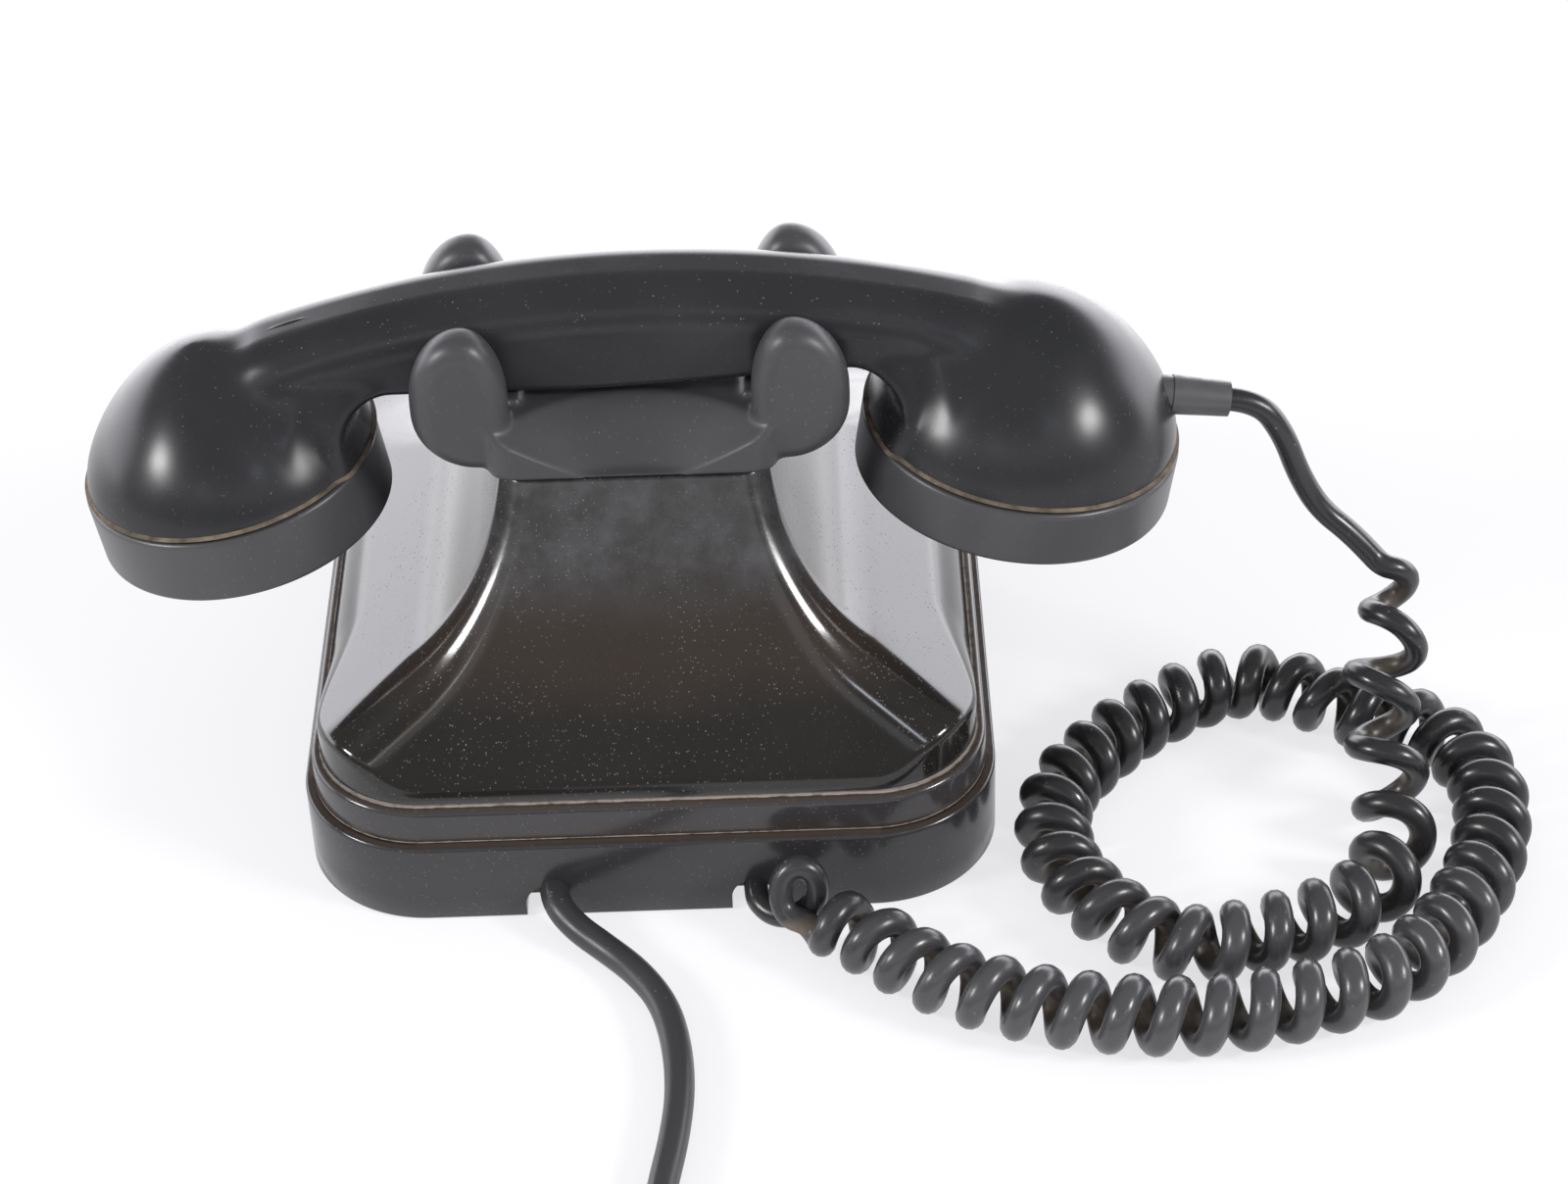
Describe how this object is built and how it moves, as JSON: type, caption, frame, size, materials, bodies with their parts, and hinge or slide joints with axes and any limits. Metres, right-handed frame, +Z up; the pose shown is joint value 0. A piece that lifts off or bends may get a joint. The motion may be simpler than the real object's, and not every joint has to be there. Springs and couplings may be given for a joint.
{
  "type": "desk telephone",
  "caption": "Bakelite desk telephone: flared case, sprung cradle with horns, lift-off handset on a curly cord, rotary finger dial, bells inside and a line cord with plug.",
  "frame": {"origin": "centre of the plinth's flat underside, on the surface that the telephone stands on", "axes": "+Z up, the dial faces -Y, the cords leave at +Y, the earpiece is on the +X side"},
  "size_m": [0.3092, 0.3581, 0.1259],
  "materials": {
    "housing": "polished black phenolic moulding, fine scratches and dust",
    "plinth": "black phenolic moulding, duller and dusty",
    "handset": "blue-black moulding, satin from handling",
    "cradle": "dark grey moulding, matte",
    "rubber": "black rubber",
    "cord": "black rubber-sheathed cord",
    "plug": "black moulded plug",
    "steel": "zinc-plated steel",
    "wheel": "polished stainless sheet",
    "enamel": "ivory enamel with plain numbers",
    "brass": "plain brass",
    "bell": "plated bell metal",
    "winding": "enamelled copper winding",
    "insulator": "brown laminate",
    "capsule": "plain aluminium capsule",
    "condenser": "grey painted can"
  },
  "bodies": {
    "base": {"base_tray": "plinth", "case": "housing", "dial_bezel": "housing", "rubber_feet": "rubber", "case_screws": "steel", "number_plate": "enamel", "dial_frame": "steel", "dial_back_plate": "steel", "finger_stop": "wheel", "chassis": "steel", "gong_left": "bell", "gong_right": "bell", "gong_posts": "steel", "ringer_frame": "steel", "ringer_coils": "winding", "condenser": "condenser", "induction_coil": "insulator", "terminal_block": "insulator", "terminal_screws": "brass", "hook_bracket": "steel", "contact_block": "insulator", "contact_blades": "brass", "cradle_springs": "steel", "cord_clamps": "insulator", "curly_cord": "cord", "line_cord": "cord", "line_cord_coil": "cord", "line_tail": "cord", "line_plug": "plug", "plug_pins": "brass"},
    "cradle": {"cradle": "cradle", "cradle_stems": "steel"},
    "handset": {"handset_body": "handset", "ear_cap": "handset", "mouth_cap": "handset", "receiver_capsule": "capsule", "transmitter_capsule": "capsule", "capsule_contacts": "brass", "handset_boot": "rubber", "cord_lead": "cord"},
    "finger_wheel": {"finger_wheel": "wheel", "dial_shaft": "steel", "dial_gear": "brass", "dial_spring": "steel"},
    "governor": {"governor": "brass"},
    "hook_lever": {"hook_lever": "steel"},
    "clapper": {"clapper": "steel"}
  },
  "joints": [
    {"name": "handset_lift", "type": "slide", "parent": "base", "child": "handset", "axis": [0, 0, 1], "range_m": [0, 0.08]},
    {"name": "cradle_rise", "type": "slide", "parent": "base", "child": "cradle", "axis": [0, 0, 1], "range_m": [0, 0.006], "stiffness_N_per_m": 120, "springref_m": 0.02, "deforming": ["cradle_springs"]},
    {"name": "hook_lever_turn", "type": "hinge", "parent": "base", "child": "hook_lever", "pos_m": [0, -0.002, 0.05], "axis": [1, 0, 0], "range_deg": [0, 14.5]},
    {"name": "dial_turn", "type": "hinge", "parent": "base", "child": "finger_wheel", "pos_m": [0, -0.041, 0.059], "axis": [0, -0.5736, 0.8192], "range_deg": [-308, 0], "stiffness_Nm_per_rad": 0.01, "springref_deg": 57.3},
    {"name": "governor_spin", "type": "hinge", "parent": "base", "child": "governor", "pos_m": [-0.02189, -0.04936, 0.05315], "axis": [0, -0.5736, 0.8192], "range_deg": [0, 1540]},
    {"name": "clapper_swing", "type": "hinge", "parent": "base", "child": "clapper", "pos_m": [0, 0.012, 0.015], "axis": [0, 0, 1], "range_deg": [-5, 5], "stiffness_Nm_per_rad": 0.002}
  ],
  "couplings": [
    {"joint": "cradle_rise", "follows": "handset_lift", "ratio": 0.075},
    {"joint": "hook_lever_turn", "follows": "handset_lift", "rad_per_m": 3.163},
    {"joint": "governor_spin", "follows": "dial_turn", "ratio": -5}
  ]
}
